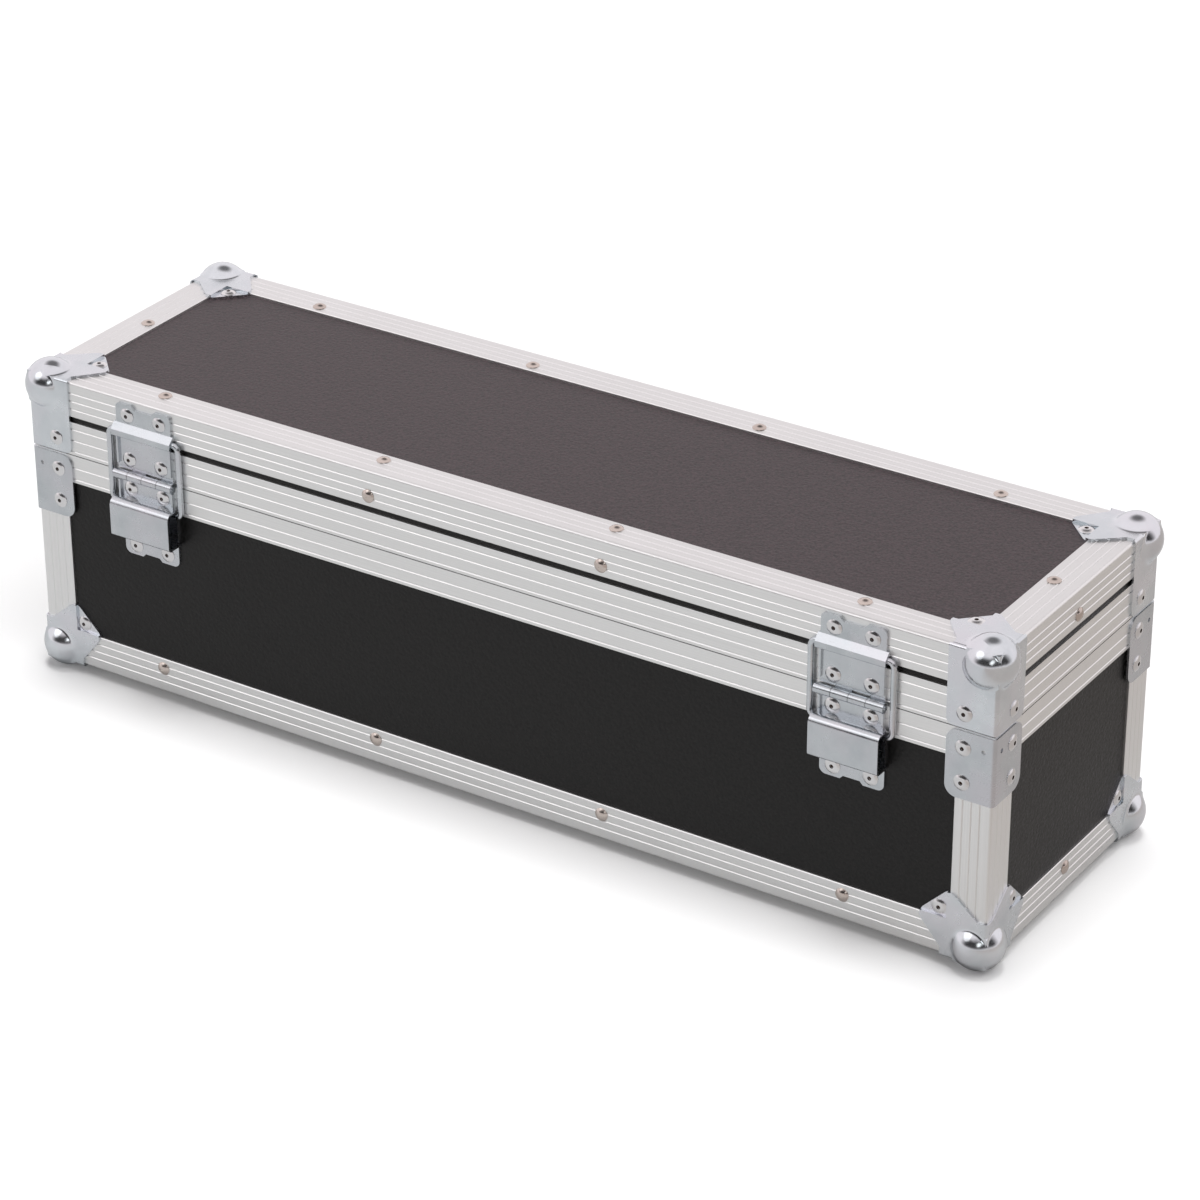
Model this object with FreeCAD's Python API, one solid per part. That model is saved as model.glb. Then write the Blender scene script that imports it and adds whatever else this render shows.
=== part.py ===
import FreeCAD, Part
import math
import os

# Foam-lined transport case: film-faced plywood panels held in aluminium edges, steel ball corners,
# two stop hinges on the long side that faces -Y, two draw latches and a drop handle on the +Y side.
# Millimetres, +Z up, X along the case. The origin is on the floor, under the middle of the whole box.

os.makedirs("parts", exist_ok=True)
V = FreeCAD.Vector
UP = V(0, 0, 1)
ALONG = V(1, 0, 0)
AXES = (ALONG, V(0, 1, 0), UP)

# Case, measured over the aluminium edges
case_length = 630.0
case_width = 178.0
base_height = 138.5             # underside of the bottom angles to the parting line
lid_height = 46.5               # parting line to the top

# Aluminium edge angles and corner posts
angle_leg = 22.0
angle_t = 1.5
angle_round = 1.6
angle_chamfer = 0.4
groove_first = 6.8              # from the outer edge
groove_last = 5.1               # from the leg's end
groove_count = 3
groove_width = 0.9
groove_depth = 0.35

# Plywood panels
panel_t = 6.5

# Closing rims: the base has a tongue, the lid a groove
parting_gap = 0.5
lid_strip = 3.25                # bare lid wall between the lid's rim and its angle
base_rim_leg = 17.5
rim_inner_t = 1.2
rim_inner_leg = 10.0
base_rim_web = 2.0
lid_groove_roof = 1.7
tongue_from_face = 4.0
tongue_t = 2.4
tongue_h = 3.5
tongue_side_gap = 1.0
tongue_top_gap = 0.8
lid_groove_first = 2.2          # grooves on a rim's face, from the parting line and from the leg's end
lid_groove_last = 4.6
base_groove_first = 8.0
base_groove_last = 2.2

# Foam lining
floor_foam_t = 15.0
wall_foam_t = 10.0
lid_foam_t = 20.0
foam_gap = 0.3

# Pressed steel corners
plate_t = 1.2
plate_bend = 2.2                # outer radius where a pressing turns round an edge
ball_r = 15.0
ball_inset = 8.25               # ball centre inside each outer plane
ball_flat = 0.4                 # worn flat under each base ball
ball_flare = 3.5
ear_leg = 26.5
ear_neck = 4.8
ear_spread = 19.0
ear_tip_round = 5.0
ear_rivet_gap = 0.3
lid_corner_w = 28.0
lid_corner_round = 4.0
corner_gap = 0.9                # lid corner and brace each stay this far from the parting line
corner_rivet = 17.5
lid_corner_rivet_up = 9.3
brace_w = 27.5
brace_h = 40.0
brace_round = 7.0
brace_rivet_edge = 9.8
brace_hole_r = 1.3
brace_hole_in = 5.6
brace_hole_down = 9.8

# Rivets: blind ones fix the hardware, plain domed ones hold the edges
rivet_head_r = 4.6
rivet_head_h = 1.3
rivet_edge_h = 0.3
rivet_bulge = 0.35
rivet_shank_r = 2.0
rivet_tip_gap = 0.6             # shank's tip short of the panel's inner face
rivet_eye_r = 1.2
rivet_eye_deep = 0.9
dome_head_r = 4.0
dome_head_h = 1.9
rivet_hole_gap = 0.1
edge_rivet_end = 86.4           # first rivet of a long edge from the case's end
edge_rivet_edge = 6.5           # from the angle leg's end

# Stop hinges
hinge_inset = 83.0              # each hinge from the case's end
hinge_t = 1.5
hinge_w = 42.0                  # barrel, tunnel and pocket
leaf_step = 1.5                 # the leaves are narrower on each side
leaf_top_gap = 2.5
leaf_round = 3.0
leaf_notch_w = 12.0
leaf_notch = 2.5
leaf_rib_t = 1.2
leaf_rib_h = 1.4
knuckle_count = 4
knuckle_gap = 0.3
knuckle_wall = 1.35
knuckle_off = 0.7               # barrel clear of the aluminium
barrel_gap = 0.4                # leaf's edge to the other leaf's barrel
pin_r = 1.5
pin_gap = 0.05
pin_stub = 0.4
hinge_rivet_edge = 8.1          # from the leaf's side
upper_rivet_gap = 1.4
tunnel_rivet_gap = 0.6
lower_rivet_gap = 0.1           # rivet heads above the pocket's top
bail_wire_r = 1.8
bail_side_gap = 1.9
bail_bend = 3.6
bail_gap = 0.2
tunnel_from_top = 17.0          # bail's top bar below the leaf's top
tunnel_gap = 0.1
tunnel_wall = 1.3
tunnel_front = 1.0              # the tunnel's upright face above the bail's axis
tunnel_slope = 3.7              # height of the sloping face over it
bar_down = 17.8                 # bail's bottom bar below the parting line, lid closed
pocket_t = 1.2
pocket_lip_down = 13.9
pocket_lip_r = 5.0              # outer radius of the bend along the pocket's top
pocket_back_gap = 0.45          # back plate below the rim's leg
flange_h = 14.4
flange_rivet_up = 6.3
flange_round = 4.0
flange_notch_w = 10.0
flange_notch = 2.0
lid_open = 95.0                 # degrees, where the bail's bar meets the pocket's floor

# Draw latches
latch_inset = 165.0             # each latch from the case's end
latch_plate_w = 34.0
latch_plate_t = 1.5
latch_plate_top = 5.0
latch_plate_h = 46.0
latch_rivet_edge = 5.0
latch_round = 3.0
lever_w = 19.2
lever_t = 1.6
lever_gap = 1.5                 # barrel clear of the plate
lever_barrel_wall = 1.65
lever_length = 27.0
lever_lip = 5.0
lever_throw = 8.0               # lever axis to the loop's axis
ear_t = 1.6
ear_wall = 2.05
ear_foot = 1.2
ear_gap = 0.6
ear_rivet_space = 0.6
loop_wire_r = 1.3
loop_side_gap = 0.7
loop_bend = 4.0
loop_end_gap = 8.0
loop_fit = 0.08
keeper_w = 26.0
keeper_t = 1.5
keeper_bottom = 3.0
keeper_above = 4.5
keeper_hook_w = 18.0
keeper_gap = 0.3
keeper_throat = 2.2
keeper_lip = 3.0
keeper_rivet_span = 17.0
keeper_rivet_up = 7.6
keeper_rivet_gap = 0.7

# Drop handle
handle_plate_over = 8.0         # plate past the bail's arms
handle_plate_h = 20.0
handle_plate_t = 1.5
handle_round = 3.0
handle_lift = 17.0              # pivot above the middle of the open panel
handle_drop = 34.0
handle_span = 112.0
handle_bend = 7.0
handle_wire_r = 2.5
handle_fit = 0.08
handle_eye_wall = 1.9
handle_eye_foot = 1.0
handle_eye_w = 7.0
handle_eye_gap = 2.0            # eye to the bail's bend, and to its free end
handle_rivet_edge = 6.0
handle_rivet_in = 10.0
grip_r = 6.5
grip_end_gap = 4.0
grip_wall_gap = 0.5
grip_gap = 0.1
grip_round = 2.0

# Levels and planes that the pieces share
case_height = base_height + lid_height
half_l = case_length / 2
half_w = case_width / 2
wall_in = angle_t + panel_t
ball_proud = ball_r - ball_inset
base_z = ball_proud - ball_flat
top_z = base_z + case_height
part_z = base_z + base_height
lid_rim_z = part_z + parting_gap / 2
base_rim_z = part_z - parting_gap / 2
lid_rim_web = tongue_h + tongue_top_gap + lid_groove_roof
lid_rim_leg = lid_height - angle_leg - lid_strip - parting_gap / 2
inner_leg_in = wall_in + rim_inner_t
groove_pitch = (angle_leg - groove_first - groove_last) / (groove_count - 1)
ear_rivet = angle_leg + plate_t + rivet_head_r + ear_rivet_gap
rivet_shank = wall_in - rivet_tip_gap
edge_rivet_in = angle_leg - edge_rivet_edge
edge_rivet_pitch = (case_length - 2 * edge_rivet_end) / 3
brace_rivets_down = (corner_gap + brace_rivet_edge, corner_gap + brace_h - brace_rivet_edge)
HINGE, LATCH = -1, 1
SIDES = {
    "hinge_side": (0, case_length, half_w),
    "right_end": (90, case_width, half_l),
    "latch_side": (180, case_length, half_w),
    "left_end": (270, case_width, half_l),
}

# Hinge sizes that follow from the ones above
leaf_w = hinge_w - 2 * leaf_step
leaf_up = lid_height - leaf_top_gap
leaf_down = pocket_lip_down + pocket_t
knuckle_r = pin_r + pin_gap + knuckle_wall
pin_out = knuckle_r + knuckle_off
hinge_rivet_span = leaf_w - 2 * hinge_rivet_edge
bail_span = hinge_w + 2 * bail_wire_r + 2 * bail_side_gap
tunnel_r = bail_wire_r + tunnel_gap + tunnel_wall
bail_top_out = bail_wire_r + tunnel_gap
bail_top_up = leaf_up - tunnel_from_top
tunnel_top = bail_top_up + tunnel_front + tunnel_slope
bar_rest_out = bail_wire_r + bail_gap
bar_open_out = bar_rest_out + pocket_t - angle_t
bail_length = math.hypot(bail_top_up + bar_down, bail_top_out - bar_rest_out)
pocket_back_down = parting_gap / 2 + base_rim_leg + pocket_back_gap
rivet_row_up = (tunnel_top + rivet_head_r + tunnel_rivet_gap,
                knuckle_r + barrel_gap + rivet_head_r + upper_rivet_gap)


# Bail linkage: the top bar turns in the lid's tunnel, the bottom bar slides down inside the pocket.
# Places are (out, up), from the aluminium's face and from the parting line, for a lid open by turn.
def tunnel_at(turn):
    dx, dz = bail_top_out - pin_out, bail_top_up
    out = dx * math.cos(turn) + dz * math.sin(turn)
    return pin_out + out, dz * math.cos(turn) - dx * math.sin(turn)


lid_turn = math.radians(lid_open)
bail_lean = math.asin((bail_top_out - bar_rest_out) / bail_length)
bail_full = math.asin((tunnel_at(lid_turn)[0] - bar_open_out) / bail_length)
bail_share = (bail_full - bail_lean) / lid_turn     # bail's own turn for each turn of the lid


def bar_at(turn):
    out, up = tunnel_at(turn)
    lean = bail_lean + bail_share * turn
    return out - bail_length * math.sin(lean), up - bail_length * math.cos(lean)


bar_path = [bar_at(lid_turn * i / 60) for i in range(61)]
flap_out = max(out for out, up in bar_path) + bail_wire_r + bail_gap
pocket_floor = min(up for out, up in bar_path) - bail_wire_r - bail_gap
flange_down = flange_h + pocket_t - pocket_floor
rivet_row_down = (pocket_lip_down - rivet_head_r - lower_rivet_gap, flange_down - flange_rivet_up)
hinge_reach = max(flap_out + pocket_t, ball_proud)
handle_out = grip_r + grip_wall_gap - angle_t
handle_reach = handle_out + grip_r
mid_y = (hinge_reach - handle_reach) / 2            # puts the whole object's box on the origin


# Outlines and basic solids
def closed_face(path, place):
    # a step is a point, or a pair of points: an arc's middle and end
    first = last = place(*path[0])
    edges = []
    for step in path[1:]:
        if isinstance(step[0], tuple):
            middle, end = place(*step[0]), place(*step[1])
            edges.append(Part.Arc(last, middle, end).toShape())
        else:
            end = place(*step)
            edges.append(Part.LineSegment(last, end).toShape())
        last = end
    if last.distanceToPoint(first) > 1e-6:
        edges.append(Part.LineSegment(last, first).toShape())
    return Part.Face(Part.Wire(edges))


def round_corner(corner, before, after, radius):
    # the start of an arc that rounds a square corner, then its (middle, end)
    cut = radius * (1 - math.sqrt(0.5))
    start = tuple(c + radius * b for c, b in zip(corner, before))
    middle = tuple(c + cut * (b + a) for c, b, a in zip(corner, before, after))
    end = tuple(c + radius * a for c, a in zip(corner, after))
    return [start, (middle, end)]


def round_tip(corner, before, after, radius):
    # as round_corner, between any two neighbouring points
    one = V(before[0] - corner[0], before[1] - corner[1], 0).normalize()
    two = V(after[0] - corner[0], after[1] - corner[1], 0).normalize()
    half = one.getAngle(two) / 2
    reach = radius / math.tan(half)
    inwards = (one + two).normalize() * (radius / math.sin(half) - radius)
    start = (corner[0] + one.x * reach, corner[1] + one.y * reach)
    middle = (corner[0] + inwards.x, corner[1] + inwards.y)
    end = (corner[0] + two.x * reach, corner[1] + two.y * reach)
    return [start, (middle, end)]


def round_box(low, high, radius):
    (u0, z0), (u1, z1) = low, high
    path = round_corner((u0, z0), (0, 1), (1, 0), radius)
    path += round_corner((u1, z0), (-1, 0), (0, 1), radius)
    path += round_corner((u1, z1), (0, -1), (-1, 0), radius)
    return path + round_corner((u0, z1), (1, 0), (0, -1), radius)


def block(low, high):
    size = V(*high) - V(*low)
    return Part.makeBox(size.x, size.y, size.z, V(*low))


def fused(first, *others):
    return first.fuse(list(others)).removeSplitter()


def side_bar(path, x0, x1, side):
    # outline in (out, up from the parting line), run along X on one long side
    face = closed_face(path, lambda out, up: V(x0, side * (half_w + out), part_z + up))
    return face.extrude(V(x1 - x0, 0, 0))


def side_sheet(path, x, out0, out1, side):
    # outline in (along, up from the parting line), thickness outwards on one long side
    face = closed_face(path, lambda u, up: V(x + u, side * (half_w + out0), part_z + up))
    return face.extrude(V(0, side * (out1 - out0), 0))


def side_rod(x0, x1, out, up, radius, side):
    return Part.makeCylinder(radius, x1 - x0, V(x0, side * (half_w + out), part_z + up), ALONG)


def four_corners(piece):
    right = piece.mirror(V(0, 0, 0), ALONG)
    pair = [piece, right]
    return pair + [p.mirror(V(0, 0, 0), V(0, 1, 0)) for p in pair]


def bent_wire(points, bend, radius, closed):
    # round wire along straight runs joined by tangent arcs
    count = len(points)
    corners = range(count) if closed else range(1, count - 1)
    edges = []
    last = None if closed else points[0]
    for i in corners:
        here, back, on = points[i], points[i - 1], points[(i + 1) % count]
        into, out = (here - back).normalize(), (on - here).normalize()
        half = into.getAngle(out) / 2
        inward = (out - into).normalize()
        start, end = here - into * bend * math.tan(half), here + out * bend * math.tan(half)
        middle = here + inward * bend * (1 / math.cos(half) - 1)
        if last is not None:
            edges.append(Part.LineSegment(last, start).toShape())
        edges.append(Part.Arc(start, middle, end).toShape())
        last = end
    if closed:
        edges.insert(0, Part.LineSegment(last, edges[0].Vertexes[0].Point).toShape())
    else:
        edges.append(Part.LineSegment(last, points[-1]).toShape())
    path = Part.Wire(edges)
    begin, ahead = edges[0].Vertexes[0].Point, edges[0].Vertexes[1].Point
    section = Part.Wire(Part.Circle(begin, ahead - begin, radius).toShape())
    return path.makePipeShell([section], True, False)


# Aluminium extrusions
def v_grooves(places):
    # steps of (along the face, below the face)
    steps = []
    for g in places:
        steps += [(g - groove_width / 2, 0), (g, groove_depth), (g + groove_width / 2, 0)]
    return steps


def angle_path():
    # (a, b): a along one outer face from the edge, b along the other
    places = [groove_first + groove_pitch * i for i in range(groove_count)]
    leg = [(angle_round, 0)] + v_grooves(places) + [(angle_leg - angle_chamfer, 0)]
    leg += [(angle_leg, angle_chamfer), (angle_leg, angle_t)]
    other = [(b, a) for a, b in reversed(leg)]
    cut = angle_round * (1 - math.sqrt(0.5))
    return leg + [(angle_t, angle_t)] + other + [((cut, cut), (angle_round, 0))]


def mitred_run(path, place, turn, length, half):
    # extrusion along one side, cut at 45 degrees where it meets its neighbours
    bar = closed_face(path, place).extrude(V(length, 0, 0))
    low, high = bar.BoundBox.ZMin - 1, bar.BoundBox.ZMax + 1
    deep = angle_leg + wall_in
    corner, inner = length / 2, -half + deep
    plan = [(-corner, -half), (corner, -half), (corner - deep, inner), (deep - corner, inner)]
    wedge = closed_face(plan, lambda x, y: V(x, y, low)).extrude(UP * (high - low))
    run = bar.common(wedge)
    run.rotate(V(0, 0, 0), UP, turn)
    return run


def edge_angle(side, edge_z, inward):
    turn, length, half = SIDES[side]
    return mitred_run(angle_path(), lambda a, b: V(-length / 2, a - half, edge_z + inward * b),
                      turn, length, half)


def rim_path(web, leg, middle, grooves):
    # (in from the face, away from the parting line); middle is the tongue's or groove's steps
    face = [(b, a) for a, b in reversed(v_grooves(grooves))]
    path = [(0, 0)] + middle + [(inner_leg_in, 0), (inner_leg_in, web + rim_inner_leg)]
    path += [(wall_in, web + rim_inner_leg), (wall_in, web), (angle_t, web), (angle_t, leg), (0, leg)]
    return path + face


def rim(side, edge_z, away, path):
    turn, length, half = SIDES[side]
    return mitred_run(path, lambda v, h: V(-length / 2, v - half, edge_z + away * h),
                      turn, length, half)


def slot_steps(width_gap, depth):
    near = tongue_from_face - width_gap
    far = tongue_from_face + tongue_t + width_gap
    return [(near, 0), (near, depth), (far, depth), (far, 0)]


def corner_post():
    low, high = base_z + angle_leg, base_rim_z - base_rim_leg
    face = closed_face(angle_path(), lambda a, b: V(a - half_l, b - half_w, low))
    return face.extrude(UP * (high - low))


# Panels and foam
def wall(side, inset, thick, ends, low, high):
    # upright slab whose outer face is inset from the case's face and whose ends stop short by ends
    turn, length, half = SIDES[side]
    reach = length / 2 - ends
    slab = block((-reach, inset - half, low), (reach, inset + thick - half, high))
    slab.rotate(V(0, 0, 0), UP, turn)
    return slab


def flat(inset, low, high):
    return block((inset - half_l, inset - half_w, low), (half_l - inset, half_w - inset, high))


# Pressed corners, made at the low left corner of the hinge side with (a, b, c) inwards
def corner_point(a, b, c):
    return V(a - half_l, b - half_w, base_z + c)


FACES = (lambda a, b, n: corner_point(a, b, n),         # underside
         lambda a, b, n: corner_point(n, a, b),         # end
         lambda a, b, n: corner_point(b, n, a))         # long side


def plate_on(face, path, depth0, depth1):
    base = closed_face(path, lambda a, b: face(a, b, depth0))
    return base.extrude(face(0, 0, depth1) - face(0, 0, depth0))


def bent_envelope(low, picks):
    # the space inside a pressing's outer faces, with rounded edges along the chosen directions
    corner = corner_point(-plate_t, -plate_t, low)
    box = block(corner, corner_point(half_l, half_w, case_height))
    edges = [e for e in box.Edges if any(v.Point.isEqual(corner, 1e-6) for v in e.Vertexes)]
    edges = [e for e in edges if any(abs(e.tangentAt(0).dot(way)) > 0.9 for way in picks)]
    return box.makeFillet(plate_bend, edges)


def ear(face):
    # short legs along both edges and a flared ear that steps down from the angles onto the panel
    tip = angle_leg + ear_spread
    tips = ((tip, angle_leg), (angle_leg, tip))
    necks = ((ear_leg, ear_neck), (ear_neck, ear_leg))
    outline = [(-plate_t, -plate_t), (ear_leg, -plate_t), necks[0]]
    outline += round_tip(tips[0], necks[0], tips[1], ear_tip_round)
    outline += round_tip(tips[1], tips[0], necks[1], ear_tip_round)
    outline += [necks[1], (-plate_t, ear_leg)]
    path = [(-plate_t, -plate_t), (ear_leg, -plate_t), necks[0], tips[0], (angle_leg, angle_leg),
            tips[1], necks[1], (-plate_t, ear_leg)]
    lower = [(angle_leg, angle_leg), *tips]
    step = angle_leg + plate_t
    riser = [(angle_leg, angle_leg), tips[0], (tip - plate_t, step), (step, step),
             (step, tip - plate_t), tips[1]]
    pressing = fused(plate_on(face, path, -plate_t, 0), plate_on(face, riser, -plate_t, angle_t),
                     plate_on(face, lower, angle_t - plate_t, angle_t))
    return pressing.common(plate_on(face, outline, -plate_t, angle_t))


def flare(face):
    # hollow curve from the plate up to the ball
    deep = ball_inset + plate_t
    centre = math.sqrt((ball_r + ball_flare) ** 2 - (deep + ball_flare) ** 2)
    share = ball_r / (ball_r + ball_flare)
    on_ball = (centre * share, (deep + ball_flare) * share - deep)
    lean = math.atan2(on_ball[1] - ball_flare, on_ball[0] - centre)
    turn = (lean % (2 * math.pi) + 1.5 * math.pi) / 2
    bow = (centre + ball_flare * math.cos(turn), ball_flare + ball_flare * math.sin(turn))
    inner = centre * share - ball_flare
    path = [(inner, -plate_t / 2), (centre, -plate_t / 2), (centre, 0), (bow, on_ball)]
    hub = ball_inset
    section = closed_face(path, lambda r, h: face(hub + r, hub, -plate_t - h))
    ring = section.revolve(face(hub, hub, 0), face(0, 0, 1) - face(0, 0, 0), 360)
    reach = hub + centre + 1
    top = -plate_t - ball_flare
    low, high = face(-plate_t, -plate_t, top), face(reach, reach, 0)
    bounds = block(tuple(min(p, q) for p, q in zip(low, high)),
                   tuple(max(p, q) for p, q in zip(low, high)))
    return ring.common(bounds)


def ball(radius):
    sphere = Part.makeSphere(radius, corner_point(ball_inset, ball_inset, ball_inset), V(1, 1, 1))
    inside = block(corner_point(0, 0, 0), corner_point(*[3 * ball_r] * 3))
    return sphere.cut(inside)


def base_ball_corner():
    plates = fused(*[ear(face) for face in FACES])
    plates = plates.common(bent_envelope(-plate_t, AXES))
    flares = [flare(face) for face in FACES]
    corner = fused(ball(ball_r), plates, *flares).cut(ball(ball_r - plate_t))
    floor = block((-case_length, -case_width, -case_height), (0, 0, 0))
    return corner.cut(floor)


def lid_ball_corner():
    tall = case_height - base_height - corner_gap
    path = [(-plate_t, -plate_t), (lid_corner_w, -plate_t)]
    path += round_corner((lid_corner_w, tall), (0, -1), (-1, 0), lid_corner_round)
    path += [(-plate_t, tall)]
    legs = [plate_on(lambda a, c, n: corner_point(n, a, c), path, -plate_t, 0),
            plate_on(lambda a, c, n: corner_point(a, n, c), path, -plate_t, 0)]
    plates = fused(*legs, ear(FACES[0])).common(bent_envelope(-plate_t, AXES))
    flares = [flare(face) for face in FACES]
    corner = fused(ball(ball_r), plates, *flares).cut(ball(ball_r - plate_t))
    return corner.mirror(V(0, 0, (base_z + top_z) / 2), UP)


def corner_brace():
    top = base_height - corner_gap
    low = top - brace_h
    path = [(-plate_t, low)] + round_corner((brace_w, low), (-1, 0), (0, 1), brace_round)
    path += round_corner((brace_w, top), (0, -1), (-1, 0), brace_round) + [(-plate_t, top)]
    faces = (lambda a, c, n: corner_point(n, a, c), lambda a, c, n: corner_point(a, n, c))
    brace = fused(*[plate_on(face, path, -plate_t, 0) for face in faces])
    brace = brace.common(bent_envelope(low - plate_t, (UP,)))
    for face in faces:
        start = face(brace_hole_in, base_height - brace_hole_down, -2 * plate_t)
        inwards = face(0, 0, 1) - face(0, 0, 0)
        brace = brace.cut(Part.makeCylinder(brace_hole_r, 3 * plate_t, start, inwards))
    return brace


# Rivets: a place on the seat and the way the head faces
def turned(path):
    return closed_face(path, lambda r, h: V(r, 0, h)).revolve(V(0, 0, 0), UP, 360)


def blind_rivet():
    middle = ((rivet_eye_r + rivet_head_r) / 2, (rivet_head_h + rivet_edge_h) / 2 + rivet_bulge)
    path = [(rivet_eye_r, rivet_head_h), (middle, (rivet_head_r, rivet_edge_h)),
            (rivet_head_r, 0), (rivet_shank_r, 0),
            (rivet_shank_r, -rivet_shank), (0, -rivet_shank), (0, rivet_head_h - rivet_eye_deep),
            (rivet_eye_r, rivet_head_h - rivet_eye_deep)]
    return turned(path)


def domed_rivet():
    rise = dome_head_h - rivet_edge_h
    round_r = (dome_head_r ** 2 + rise ** 2) / (2 * rise)
    middle = (dome_head_r / 2, dome_head_h - round_r + math.sqrt(round_r ** 2 - dome_head_r ** 2 / 4))
    path = [(0, dome_head_h), (middle, (dome_head_r, rivet_edge_h)), (dome_head_r, 0), (rivet_shank_r, 0),
            (rivet_shank_r, -rivet_shank), (0, -rivet_shank)]
    return turned(path)


def set_rivet(shape, seat):
    place, facing = seat
    copy = shape.copy()
    copy.Placement = FreeCAD.Placement(place, FreeCAD.Rotation(UP, facing))
    return copy


def drilled(shape, seats):
    # holes for the shanks that pass through this shape
    deep = rivet_shank + rivet_hole_gap
    start = rivet_head_h
    tools = []
    for place, facing in seats:
        hole = Part.makeCylinder(rivet_shank_r + rivet_hole_gap, deep + start,
                                 place + facing * start, facing * -1)
        if hole.BoundBox.intersect(shape.BoundBox):
            tools.append(hole)
    return shape.cut(tools) if tools else shape


def side_seat(x, out, up, side):
    return V(x, side * (half_w + out), part_z + up), V(0, side, 0)


def mirrored_seats(seats, *normals):
    for n in normals:
        seats = seats + [(p - n * 2 * p.dot(n), f - n * 2 * f.dot(n)) for p, f in seats]
    return seats


def edge_seats(edge_z, up, side_marks):
    # rivets in the flat leg and in the upright leg of the four angles at one level
    leg_z = edge_z - up * edge_rivet_in
    flat_leg, upright = V(0, 0, up), V(0, -1, 0)
    marks = [edge_rivet_pitch * k for k in (0.5, 1.5)]
    long_flat = [(V(m, edge_rivet_in - half_w, edge_z), flat_leg) for m in marks]
    seats = mirrored_seats(long_flat, ALONG, V(0, 1, 0))
    for side in (HINGE, LATCH):
        row = [(V(edge_rivet_pitch * k, side * half_w, leg_z), upright * -side)
               for k in side_marks[side]]
        seats += mirrored_seats(row, ALONG)
    ends = [(V(half_l - edge_rivet_in, 0, edge_z), flat_leg), (V(half_l, 0, leg_z), ALONG)]
    return seats + mirrored_seats(ends, ALONG)


def corner_seats(canonical):
    return mirrored_seats(canonical, ALONG, V(0, 1, 0))


def base_corner_seats():
    seats = []
    for face in FACES:
        out = face(0, 0, -1) - face(0, 0, 0)
        seats.append((face(ear_rivet, ear_rivet, angle_t - plate_t), out))
    for down in brace_rivets_down:
        up = base_height - down
        seats.append((corner_point(corner_rivet, -plate_t, up), V(0, -1, 0)))
        seats.append((corner_point(-plate_t, corner_rivet, up), ALONG * -1))
    return corner_seats(seats)


def lid_corner_seats():
    deep = angle_t - plate_t
    up = base_height + lid_corner_rivet_up
    seats = [(V(ear_rivet - half_l, ear_rivet - half_w, top_z - deep), UP),
             (corner_point(corner_rivet, -plate_t, up), V(0, -1, 0)),
             (corner_point(-plate_t, corner_rivet, up), ALONG * -1)]
    return corner_seats(seats)


def pair_seats(x, span, out, up, side):
    return [side_seat(x + s * span / 2, out, up, side) for s in (-1, 1)]


# Stop hinge
def knuckles(x, which):
    pitch = hinge_w / knuckle_count
    rods = []
    for i in range(which, knuckle_count, 2):
        x0 = x - hinge_w / 2 + pitch * i + knuckle_gap / 2
        x1 = x0 + pitch - knuckle_gap
        rods.append((x0, x1))
    return rods


def leaf_with_barrel(plate, x, which, way):
    # way is +1 for the lid's leaf above the pin and -1 for the base's leaf below it
    pieces = []
    for x0, x1 in knuckles(x, which):
        tab = [(0, 0), (hinge_t, 0), (hinge_t, way * (knuckle_r + 1)), (0, way * (knuckle_r + 1))]
        pieces.append(side_bar(tab, max(x0, x - leaf_w / 2), min(x1, x + leaf_w / 2), HINGE))
        pieces.append(side_rod(x0, x1, pin_out, 0, knuckle_r, HINGE))
    leaf = fused(plate, *pieces)
    bore = side_rod(x - hinge_w, x + hinge_w, pin_out, 0, pin_r + pin_gap, HINGE)
    return leaf.cut(bore)


def side_ribs(x, low, high):
    ribs = []
    for s in (-1, 1):
        edge = x + s * leaf_w / 2
        x0, x1 = sorted((edge, edge - s * leaf_rib_t))
        path = [(0, low), (hinge_t + leaf_rib_h, low), (hinge_t + leaf_rib_h, high), (0, high)]
        ribs.append(side_bar(path, x0, x1, HINGE))
    return ribs


def upper_leaf(x):
    half, low = leaf_w / 2, knuckle_r + barrel_gap
    notch = leaf_notch_w / 2
    path = [(-half, low), (half, low)]
    path += round_corner((half, leaf_up), (0, -1), (-1, 0), leaf_round)
    path += [(notch + leaf_notch, leaf_up), (notch, leaf_up - leaf_notch),
             (-notch, leaf_up - leaf_notch), (-notch - leaf_notch, leaf_up)]
    path += round_corner((-half, leaf_up), (1, 0), (0, -1), leaf_round)
    plate = side_sheet(path, x, 0, hinge_t, HINGE)
    crest = bail_top_out + tunnel_r
    low_z, front_z = bail_top_up - tunnel_r, bail_top_up + tunnel_front
    tunnel = [(0, low_z)] + round_corner((crest, low_z), (-1, 0), (0, 1), tunnel_wall)
    tunnel += [(crest, front_z), (hinge_t, tunnel_top), (0, tunnel_top)]
    arch = side_bar(tunnel, x - hinge_w / 2, x + hinge_w / 2, HINGE)
    ribs = side_ribs(x, low + leaf_round, low_z)
    leaf = leaf_with_barrel(fused(plate, arch, *ribs), x, 1, 1)
    hollow = bail_wire_r + tunnel_gap
    bore = side_rod(x - hinge_w, x + hinge_w, bail_top_out, bail_top_up, hollow, HINGE)
    # the bridge is open at the back, where the bail lies on the aluminium
    channel = [(-hollow, bail_top_up - hollow), (bail_top_out, bail_top_up - hollow),
               (bail_top_out, bail_top_up + hollow), (-hollow, bail_top_up + hollow)]
    return leaf.cut(bore).cut(side_bar(channel, x - hinge_w, x + hinge_w, HINGE))


def lower_leaf(x):
    half, high = leaf_w / 2, -knuckle_r - barrel_gap
    path = [(-half, high), (-half, -leaf_down), (half, -leaf_down), (half, high)]
    plate = side_sheet(path, x, 0, hinge_t, HINGE)
    return leaf_with_barrel(fused(plate, *side_ribs(x, -pocket_lip_down, high - 1)), x, 0, -1)


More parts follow.
